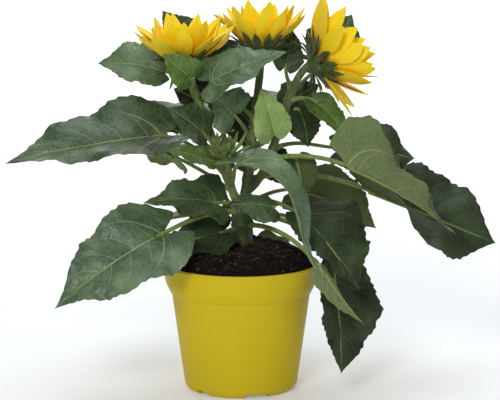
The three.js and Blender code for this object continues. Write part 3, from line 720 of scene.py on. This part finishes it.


# A leaf without a look of its own takes the dark kind, which is painted shade.
leaves = [
    leaf("left_high", "left", 178, (-61, -22, 215), (-189, -48, 195), 78, (270, 58), 24, "glossy",
         bow=(0.02, 0.06), share=(0.8, 1)),
    leaf("left_rear", "main", 156, (-54, 21, 190), (-112, 48, 204), 58, (95, 45), 16, "fresh",
         bow=(0.08, 0.05)),
    leaf("left_low", "main", 147, (-61, -48, 139), (-147, -88, 85), 74, (268, 42), (12, 18), "pale",
         bow=(0.1, 0.1), stalk=2.4),
    leaf("left_small", "main", 152, (-19, -18, 158), (-79, -34, 161), 48, (280, 62), (4, 34), "glossy",
         shoulder=0.12),
    leaf("on_soil", "main", 133, (-14, -14, 133), (-66, -34, 122), 48, (280, 70), (-2, 28),
         bow=(0.06, 0.02)),
    leaf("right_hanging", "main", 143, (76, -28, 108), (82, -42, 21), 76, (290, 20), (0, 30),
         bow=(0.04, 0.08), flat=0.1, share=(1, 0.5), stalk=2.2, lift=0.7, shoulder=0.45),
    leaf("right_folded", "main", 136, (66, -66, 110), (97, -90, 74), 24, (110, -20), 50, "green",
         stalk=2.2, lift=0.5, shoulder=0.1, flat=-0.5, bow=(0.1, 0.1)),
    leaf("front_glossy", "left", 170, (-6, -50, 196), (66, -76, 108), 34, (310, 38), (16, 20), "pale",
         bow=(0.66, -0.1), lift=0, twist=-20, flat=-1.4, shoulder=0.2),
    leaf("right_dark", "main", 158, (50, -26, 149), (96, -60, 94), 88, (290, 30), (4, 10), stalk=2.2,
         flat=0.1, share=(1, 0.4)),
    leaf("right_high", "middle", 187, (84, -23, 191), (175, -38, 135), 86, (90, 85), (54, 84), "green",
         flat=0.95, stalk=2.3, bow=(0.06, 0.06), shoulder=0.06, wave=0.06),
    leaf("right_far", "middle", 174, (104, 30, 162), (214, 28, 116), 92, (268, 60), (4, 80), flat=1,
         stalk=2.3, bow=(0, 0), shoulder=0.5, twist=36),
    leaf("right_under", "main", 151, (52, 40, 159), (116, 70, 121), 66, (100, 40), 14),
    leaf("right_inner", "middle", 181, (46, -2, 192), (51, -2, 156), 32, (60, 10), 20),
    leaf("top_pale", "middle", 223, (-24, -38, 260), (37, -46, 285), 46, (278, 48), (12, 20), "pale",
         bow=(0.08, 0.06), shoulder=0.1),
    leaf("top_curled", "left", 250, (-40, -38, 263), (-62, -50, 284), 28, (250, 30), 20, "fresh"),
    leaf("middle_blue", "middle", 204, (-5, -24, 231), (-23, -32, 248), 44, (275, 30), 16, "pale"),
    leaf("left_glossy", "left", 196, (-31, -24, 217), (-59, -30, 238), 38, (270, 50), 20, "glossy"),
    leaf("left_level", "left", 184, (-25, -46, 197), (-59, -56, 207), 28, (270, 60), (16, 10), "fresh"),
    leaf("young", "middle", 196, (26, -14, 214), (16, -18, 252), 34, (280, 20), (30, 12), "young"),
    leaf("round", "right", 222, (47, 8, 233), (55, -4, 202), 42, (300, 30), -10, bow=(0.15, 0.15)),
    leaf("front_small", "main", 164, (27, -32, 157), (-12, -44, 161), 34, (270, 50), (-4, -14), "glossy"),
    leaf("bloom_left", "left", 254, (-66, 10, 264), (-118, 16, 269), 44, (268, 45), (20, 66), "pale",
         bow=(0.1, 0.1)),
    leaf("bloom_right", "right", 240, (60, -8, 241), (88, -18, 211), 26, (290, 40), 20, "fresh"),
    leaf("top_right", "right", 244, (72, 57, 271), (94, 70, 305), 50, (290, 20), 10, "green", lift=0.1),
    leaf("top_dark", "left", 238, (-22, 20, 272), (-2, 30, 286), 32, (270, 40), 16),
    leaf("top_grey", "right", 246, (37, 20, 266), (43, 30, 296), 26, (280, 10), 20, "green"),
    leaf("bloom_rear", "left", 247, (-40, 37, 278), (-66, 48, 310), 36, (260, 40), 14, "green"),
    leaf("right_top", "right", 241, (38, 30, 233), (66, 34, 250), 34, (280, 50), 16, "green"),
    leaf("left_dark", "left", 222, (-22, 4, 242), (-43, -6, 257), 26, (280, 40), 16),
    leaf("left_notched", "left", 229, (-38, 14, 240), (-56, 18, 248), 20, (270, 30), 10),
    leaf("centre_dark", "middle", 212, (14, 22, 212), (-14, 32, 240), 46, (275, 30), 14),
    leaf("centre_low", "middle", 190, (22, 20, 192), (36, 24, 166), 34, (300, 30), 14),
    leaf("back_middle", "middle", 176, (0, 56, 215), (-10, 150, 200), 74, (90, 75), 16, "green", lift=0.2),
    leaf("back_high_right", "right", 215, (32, 50, 228), (75, 132, 222), 62, (60, 70), 16),
    leaf("back_high_left", "left", 206, (-34, 48, 226), (-70, 126, 214), 62, (120, 70), 16),
    leaf("back_low", "main", 140, (10, 76, 110), (16, 112, 44), 64, (90, 40), 14, lift=0.6),
    leaf("back_low_left", "main", 145, (-34, 74, 112), (-58, 112, 54), 58, (120, 40), 14, lift=0.6),
    leaf("left_under", "main", 137, (-62, 30, 136), (-112, 86, 94), 56, (140, 50), 14, lift=0.5),
    leaf("right_back", "main", 138, (58, 64, 126), (100, 122, 84), 62, (50, 50), 14, lift=0.5),
    leaf("right_rear", "right", 200, (84, 46, 194), (147, 54, 184), 60, (280, 45), 10, shoulder=0.5),
    leaf("left_back", "left", 190, (-52, 56, 206), (-108, 118, 200), 62, (130, 60), 16, "green"),
]


def half_width(s, shoulder):
    """Half width of a blade, from 0 to 1, along its length."""
    rear = 0.38 + 0.62 * np.sin(np.pi / 2 * np.clip(s / shoulder, 0, 1) ** 0.75)
    t = np.clip((s - shoulder) / (1 - shoulder), 0, 1)
    return np.where(s < shoulder, rear, np.maximum((1 - t) ** 1.3 * (1 + 1.3 * t), 0.004))


def teeth(s, width, salt):
    """How far the margin stands out or in, in millimetres: uneven teeth that point to the tip."""
    warp = s + 0.02 * np.sin(9 * s + salt) + 0.008 * np.sin(31 * s + 2 * salt)
    row = warp * (7 + width / 8)
    part = row - np.floor(row)
    size = 0.65 + 0.35 * scatter(np.floor(row), salt)
    saw = np.where(part < 0.8, part / 0.8, (1 - part) / 0.2) - 0.4
    depth = (0.7 + 0.024 * width) * np.clip(s * 8, 0, 1) * np.clip((0.97 - s) * 6, 0, 1)
    bays = 0.018 * width * (np.sin(14 * s + 3 * salt) + 0.6 * np.sin(31 * s + 5 * salt))
    return depth * size * saw + bays * np.clip(s * 5, 0, 1) * np.clip((1 - s) * 3, 0, 1)


def blade_grid(told, curve, face, length, s, u):
    """Points of the blade's middle surface: s runs from stalk to tip, u from the left margin (1) over
    the midrib (0) to the right margin (-1)."""
    left_side = u > 0

    def pick(pair):
        return np.where(left_side, *pair)

    salt = len(told.name) + told.width / 7
    half = told.width / 2 * half_width(s, told.shoulder) * pick(told.share)
    reach = np.abs(u)
    tooth = pick([teeth(s, told.width, salt), teeth(s, told.width, salt + 2.1)])
    out = reach * half + tooth * reach**4 * np.minimum(half / 8, 1)
    along = s - LOBE * np.sin(math.pi / 2 * reach) ** 1.5 * (1 - s) ** 3
    t = np.maximum(along, 0)
    forward = curve.tangent(t)
    up = turned(square_to(forward, face), forward, np.radians(told.twist * s))
    left = np.cross(up, forward)
    angle = np.radians(pick(np.resize(told.fold, 2)) * (1 - told.flat * s) + CURL * reach / 2)
    phase = pick([1, 2.8]) + len("leaf_" + told.name)
    swell = np.minimum(1, 3 * (1 - s))
    ripple = told.wave * told.width * reach**2 * np.sin(math.pi * RIPPLES * s + phase) * swell
    frill = 0.014 * told.width * reach**3 * np.sin(math.pi * FRILLS * s + salt + 2 * u) * swell
    rise = out * np.sin(angle) + ripple + frill
    return (curve.at(t) + forward * (np.minimum(along, 0) * length)[..., None]
            + left * (np.sign(u) * out * np.cos(angle))[..., None] + up * rise[..., None])


def grooves(_, angle):
    """Shallow grooves along a stalk."""
    return 0.05 * np.cos(3 * angle) + 0.03 * np.cos(5 * angle + 1)


def vein_row(s, u):
    """The place among the side veins: they lie where its fraction is a half."""
    return (s - VEIN_SWEEP * np.abs(u) ** 1.25) * VEINS + np.where(u > 0, 0.5, 0.82)


def relief(told, grid, s, u):
    """How far a blade's surface stands out: pillows between the side veins, and furrows along veins."""
    width, salt = told.width, len(told.name)
    reach = np.abs(u)
    pillow = np.abs(np.sin(math.pi * (vein_row(s, u) + 0.5))) ** 0.7 - 0.55
    across = reach * width / 2 * half_width(s, told.shoulder)
    arc = s - ARC_START - ARC_SWEEP * reach**1.5
    rise = (0.0105 * width * pillow * np.minimum(1, reach * 4) * (1 - 0.45 * reach)
            - 0.5 * np.exp(-((across / 1.5) ** 2)) - 0.35 * np.exp(-((arc / 0.02) ** 2))
            + 0.012 * width * smooth_noise(grid, 15, salt) + 0.16 * smooth_noise(grid, 5, salt + 0.5))
    return rise * np.clip((1 - s) * 5, 0, 1)


def make_leaf(told):
    base, tip = np.array(told.base, float), np.array(told.tip, float)
    length = np.linalg.norm(tip - base)
    face = square_to(unit(tip - base), heading(*told.face))
    controls = [base + (tip - base) * share + face * bow * length
                for share, bow in zip((0.33, 0.67), told.bow)]
    curve = Curve(base, *controls, tip)
    piece = Piece(f"leaf_{told.name}_blade")

    rows = int(np.clip(length / ROW_STEP, 36, 120))
    columns = 2 * int(np.clip(told.width / 4.5, 6, 16)) + 1
    x = np.linspace(1, -1, columns)
    s, u = np.meshgrid(np.linspace(0, 1, rows), np.sign(x) * np.abs(x) ** 1.2, indexing="ij")
    grid = blade_grid(told, curve, face, length, s, u)
    grid = grid + normals(grid) * relief(told, grid, s, u)[..., None]
    top_mark = np.stack([u, vein_row(s, u), s], -1)
    add_sheet(piece, grid, BLADE_THICK, TOP_CELL, UNDER_CELL, top_mark, top_mark + [UNDERSIDE, 0, 0])

    stem = stems[told.stem]
    stem.feet.append(told.foot)
    foot, end = stem.curve.at(stem.share_at(told.foot)), curve.at(STALK_END)
    span = np.linalg.norm(end - foot)
    out = unit(unit(end - foot) + np.array([0, 0, told.lift]))
    stalk = Curve(foot, foot + out * span * 0.38, end - curve.tangent(STALK_END) * span * 0.34, end)
    ts = np.linspace(0, 1, max(int(span / 2), 12))
    radii = told.stalk * (1 - 0.3 * ts) * (1 + 0.5 * np.exp(-((ts * span / 7) ** 2)))
    piece.add(tube(stalk, ts, radii, 10, grooves), STALK_CELL, slot=1)

    ts = np.linspace(STALK_END * 0.4, RIB_END, 30)
    radii = told.stalk * 0.72 * (1 - ts) ** 1.1 + 0.12
    sink = square_to(curve.tangent(ts), face) * (radii * 0.95 + 0.05)[:, None]
    piece.add(tube(curve, ts, radii, 8) - sink[:, None], RIB_CELL, slot=1)
    piece.make([leaf_looks[told.look], stalk_green], "young_leaf" if told.look == "young" else "leaf",
               f"leaf_{told.name}")


# ---- blooms

CALYX_RADIUS = 13
DISC_RADIUS = CALYX_RADIUS - 4
PETAL_THICK, BRACT_THICK = 0.3, 0.45
FLORETS = 150
FLORET_TURN = 137.5  # from each floret to the next, so that they fill the disc evenly
GOLD_RING = 6  # florets further out than this are open
TUFT_LEAFLETS = 7

# Layers of petals from the outside in: how many, how much steeper, height, turn in shares of a step,
# salt, and how long and wide they are against the outer ones.
PETAL_LAYERS = [(12, 0, 8, 0, 10, 1, 1), (11, 11, 8.8, 0.4, 30, 0.98, 0.94),
                (8, 24, 9.4, 0.5, 20, 0.92, 0.85)]
BRACT_ROWS = [(13, 0, 3), (12, 1.2, -8), (9, 2.2, -26)]  # how many, how far down, how much steeper
BUD_ROWS = [(11, 24, 20), (11, 48, 16), (8, 72, 10)]  # how many, pitch, length



def bloom(name, axis, petal, pitch, lean, bend, salt):
    """A bloom on the stem of its own name. axis is the azimuth and elevation that it faces, and petal the
    length and width of a petal. pitch is how steeply the petals rise, lean a turn and how much more they
    rise towards it, and bend how far they bend down. salt picks their scatter."""
    return SimpleNamespace(**locals())


blooms = [
    bloom("left", (250, 86), (42, 15.5), 27, (270, 15), -12, 1),
    bloom("middle", (90, 86), (42, 14.5), 35, (270, 12), -8, 2),
    bloom("right", (10, 14), (48, 18), 14, (315, 40), -10, 3),
]

# One narrow petal hangs free from the right bloom, and one loose bract from the left.
HANGING_PETAL = dict(length=47, width=8, radius=9, height=7, pitch=13, bend=-6, turn=338,
                     rows=22, columns=13, trough=0.4)
LOOSE_BRACT = dict(length=18, width=6, radius=8, height=1, pitch=-76, bend=-16, turn=205, trough=0.3)

# Tufts of young leaflets where side shoots start: stem, height, azimuth and elevation, length.
TUFTS = [
    ("main", 146, (330, 24), 11), ("main", 141, (130, 30), 11),
    ("left", 176, (290, 50), 13), ("left", 190, (160, 40), 12), ("left", 196, (215, 40), 12),
    ("left", 204, (300, 40), 14), ("left", 222, (60, 30), 10),
    ("middle", 190, (280, 40), 13), ("middle", 214, (30, 50), 9), ("right", 214, (70, 40), 10),
    ("bud", 188, (240, 30), 12), ("bud", 186, (310, 20), 12),
]


class Seat:
    """Where a bloom, the bud or a tuft sits: its own +Z is turned to an azimuth and elevation."""

    def __init__(self, axis, base):
        turn = Vector((0, 0, 1)).rotation_difference(Vector(heading(*axis)))
        self.turn = np.array(turn.to_matrix())
        self.base = base

    def place(self, grid):
        return grid @ self.turn.T + self.base


def ray(length, width, radius, height, pitch, bend, turn, trough, rows=14, columns=7, roll=0, pleats=0,
        sharp=0.9):
    """A petal, bract or leaflet on its seat. It starts at a radius and a height, rises at its pitch and
    bends down by bend. trough lifts both margins, roll tips it, pleats fold it lengthwise, and sharp
    narrows its ends. Returns its points, and how far along and across each is."""
    s, x = np.meshgrid(np.linspace(0, 1, rows), np.linspace(-1, 1, columns), indexing="ij")
    angle = np.radians(pitch - bend * s / 2)
    swell = np.maximum(np.sin(math.pi * np.minimum(0.06 + 0.94 * s**1.12, 0.997)) ** sharp, 0.02)
    wide = width / 2 * np.where(s < 0.4, np.maximum(swell, 0.3), swell)
    out = radius + length * s * np.cos(angle)
    aside = -x * wide
    rise = length * s * np.sin(angle) + (np.abs(x) ** 1.5 * trough - x * roll) * wide
    rise = rise + pleats * np.cos(2 * math.pi * 2.5 * x) * np.sin(math.pi * s) ** 0.5
    c, d = math.cos(math.radians(turn)), math.sin(math.radians(turn))
    return np.stack([out * c - aside * d, out * d + aside * c, height + rise], -1), s, x


def add_rays(piece, seat, rays, thick, spots):
    """Each ray takes the next two cells. Its marks are along, across, and a shade of its own."""
    for i, told in enumerate(rays):
        grid, s, x = ray(**told)
        mark = np.stack([s, x, np.full_like(s, scatter(i, 41 + len(rays)))], -1)
        add_sheet(piece, seat.place(grid), thick, next(spots), next(spots), mark, mark)


def lean_at(told, turn):
    """How far a petal or bract of a bloom rises above its pitch at a turn."""
    return told.lean[1] * max(math.cos(math.radians(turn - told.lean[0])), 0)


def make_petals(told, seat):
    rays = []
    for count, steeper, height, shift, layer_salt, longer, wider in PETAL_LAYERS:
        salt = told.salt + layer_salt
        for i in range(count):
            turn = 360 / count * (i + shift + 0.2 * scatter(i, salt + 6))
            rays.append(dict(
                length=told.petal[0] * longer * (0.94 + 0.08 * scatter(i, salt)),
                width=told.petal[1] * wider * (1 + 0.15 * scatter(i, salt + 2)),
                radius=CALYX_RADIUS - 3, height=height,
                pitch=told.pitch + steeper + lean_at(told, turn) + 9 * scatter(i, salt + 4),
                bend=told.bend - 12 * scatter(i, salt + 5), turn=turn, rows=22, columns=13, pleats=0.25,
                trough=0.2 + 0.12 * scatter(i, salt + 7), roll=0.2 + 0.4 * scatter(i, salt + 8)))
    if told.name == "right":
        rays.append(HANGING_PETAL)
    piece = Piece(f"petals_{told.name}_fine")
    add_rays(piece, seat, rays, PETAL_THICK, cells(2 * len(rays)))
    piece.make([petal_yellow], "petal", f"petals_{told.name}")


def make_calyx(told, seat):
    rays = []
    for row, (count, drop, steeper) in enumerate(BRACT_ROWS):
        for i in range(count):
            turn = 360 / count * (i + 0.3 + 0.4 * row)
            rays.append(dict(
                length=21 - 1.5 * row + 3 * scatter(i, told.salt + row), width=6.4 - 0.6 * row,
                radius=CALYX_RADIUS - 2.2 - 1.4 * row, height=4.2 - drop,
                pitch=told.pitch + steeper + lean_at(told, turn) + 5 * scatter(i, told.salt + 1 + row),
                bend=2 + 14 * row, turn=turn, trough=0.25, sharp=1.2))
    cup = lathe(rounded([
        (0.01, -1.5), (3.6, -1.5), (5, 0.5), (10, 3), (CALYX_RADIUS, 7), (CALYX_RADIUS - 0.9, 7.4),
        (CALYX_RADIUS - 1.4, 5.4), (0.01, 4.6)], [0, 1, 2, 3, 0.5, 0.5, 1, 0]), 40)
    piece = Piece(f"calyx_{told.name}_fine")
    spots = cells(1 + 2 * len(rays))
    piece.add(seat.place(cup), next(spots))
    add_rays(piece, seat, rays, BRACT_THICK, spots)
    piece.make([bract_green], "calyx", f"calyx_{told.name}")


def make_disc(told, seat):
    dome = lathe(rounded([
        (DISC_RADIUS, 5.5), (DISC_RADIUS, 9), (DISC_RADIUS - 2, 10.6), (0.01, 11.2)], [0, 1, 2, 0]), 40)
    piece = Piece(f"disc_{told.name}_fine")
    spots = cells(1 + FLORETS)
    piece.add(seat.place(dome), next(spots))
    for i in range(FLORETS):
        radius = (DISC_RADIUS - 0.2) * math.sqrt((i + 0.5) / FLORETS)
        turn = math.radians(FLORET_TURN * i)
        tall = 1.1 + 1.6 * (radius / CALYX_RADIUS) ** 2
        low = 10.9 - 1.6 * (radius / DISC_RADIUS) ** 3
        floret = lathe([(0.42, 0), (0.5, tall * 0.7), (0.62, tall), (0.1, tall * 0.92)], 6)
        floret = floret + [radius * math.cos(turn), radius * math.sin(turn), low]
        piece.add(seat.place(floret), next(spots), slot=1 if radius > GOLD_RING else 2)
    piece.make([plain("disc_brown", (52, 32, 18), 0.9), plain("floret_gold", (196, 138, 22), 0.7),
                plain("floret_brown", (74, 52, 26), 0.8)], "disc", f"disc_{told.name}")


def make_bud():
    seat = Seat((270, 60), stems["bud"].end)
    rays = []
    for row, (count, pitch, length) in enumerate(BUD_ROWS):
        for i in range(count):
            rays.append(dict(
                length=length + 3 * scatter(i, 31 + row), width=3.6, radius=3.4 - 0.7 * row,
                height=2 + 1.6 * row + 1.4 * scatter(i, 33 + row), pitch=pitch + 16 * scatter(i, 35 + row),
                bend=-30 + 30 * scatter(i, 37), turn=360 / count * (i + 0.5 * row), rows=12, columns=5,
                trough=0.3))
    piece = Piece("bud_fine")
    spots = cells(1 + 2 * len(rays))
    rise = np.linspace(-math.pi / 2 + 0.05, math.pi / 2 - 0.02, 12)
    heart = lathe(np.stack([6.2 * np.cos(rise), 4 + 5 * np.sin(rise)], -1), 24)
    piece.add(seat.place(heart), next(spots))
    add_rays(piece, seat, rays, BRACT_THICK, spots)
    piece.make([bud_green], "young_leaf", "bud")


def make_sprigs():
    """The tufts and the loose bract."""
    piece = Piece("sprigs")
    spots = cells(2 + len(TUFTS) * (1 + 2 * TUFT_LEAFLETS))
    left = Seat(blooms[0].axis, stems["left"].end)
    add_rays(piece, left, [LOOSE_BRACT], BRACT_THICK, spots)
    for k, (name, height, axis, length) in enumerate(TUFTS):
        way = heading(*axis)
        foot = stems[name].curve.at(stems[name].share_at(height))
        end = foot + way * (length + 4)
        stalk = Curve(foot, foot + way * 5, end - way * 3, end)
        piece.add(tube(stalk, np.linspace(0, 1, 8), np.linspace(1.3, 0.9, 8), 8), next(spots))
        leaflets = [dict(
            length=length * (1 + 0.3 * scatter(i, k)), width=4.6, radius=0.4, height=0,
            pitch=52 + 30 * scatter(i, k + 0.5), bend=20 * scatter(i, k + 0.2),
            turn=360 / TUFT_LEAFLETS * (i + 0.3 * scatter(i, k + 0.8)), rows=12, trough=0.4)
            for i in range(TUFT_LEAFLETS)]
        add_rays(piece, Seat(axis, end), leaflets, BRACT_THICK, spots)
    piece.make([sprig_green], "young_leaf")


# ---- assembly

make_pot()
make_soil()
soil_rng = np.random.default_rng(5)
make_crumbs(soil_rng)
make_fibres(soil_rng)
for told in leaves:
    make_leaf(told)
# A stem swells where stalks leave it, so the stems come after the leaves.
for salt, (name, stem) in enumerate(stems.items()):
    make_stem(name, stem, salt)
make_sprigs()
make_hairs()
for told in blooms:
    seat = Seat(told.axis, stems[told.name].end)
    make_calyx(told, seat)
    make_petals(told, seat)
    make_disc(told, seat)
make_bud()

# ---- studio

FLOOR_SIZE = 12
FLOOR_GREY = (217.85, 217.85, 217.85)  # it sends back seven tenths of the light
WORLD_STRENGTH = 0.2
MIDDLE = (0, 0, 0.18)  # the middle of the plant, where three lights point
CAMERA_PLACE = (0.0075, -1.8, 0.462)
CAMERA_TILT = 80.4  # degrees up from straight down
SENSOR, LENS = 36, 159.2


def area_light(name, place, target, size, power, colour=(1, 1, 1)):
    light = bpy.data.lights.new(name, "AREA")
    light.shape = "RECTANGLE"
    light.size, light.size_y = size
    light.energy = power
    light.color = colour
    thing = bpy.data.objects.new(name, light)
    thing.location = place
    thing.rotation_euler = (Vector(target) - Vector(place)).to_track_quat("-Z", "Y").to_euler()
    bpy.context.scene.collection.objects.link(thing)


scene = bpy.context.scene
scene.view_settings.view_transform = "Standard"
scene.world = bpy.data.worlds.new("studio")
scene.world.use_nodes = True
background = scene.world.node_tree.nodes["Background"].inputs
background["Color"].default_value = (1, 1, 1, 1)
background["Strength"].default_value = WORLD_STRENGTH

bpy.ops.mesh.primitive_plane_add(size=FLOOR_SIZE, location=(0, 0, 0))
floor = bpy.context.object
floor.name = "floor"
floor.data.materials.append(
    plain("pale_floor", FLOOR_GREY, 0.9, Emission_Color=(255, 255, 255), Emission_Strength=0.2))

area_light("key", (-0.35, -1.7, 1.1), MIDDLE, (0.5, 0.5), 18)
area_light("top", (0.1, 0.1, 1.7), MIDDLE, (1.2, 1.2), 13, (0.84, 0.92, 1))
area_light("back", (-0.1, 1.7, 1.2), MIDDLE, (1.0, 0.8), 5)
area_light("backdrop", (0, 3.4, 2.2), (0, 3.4, 0), (5, 3), 150)

camera = bpy.data.objects.new("camera", bpy.data.cameras.new("camera"))
camera.data.sensor_width = SENSOR
camera.data.lens = LENS
camera.location = CAMERA_PLACE
camera.rotation_euler = (math.radians(CAMERA_TILT), 0, 0)
scene.collection.objects.link(camera)
scene.camera = camera
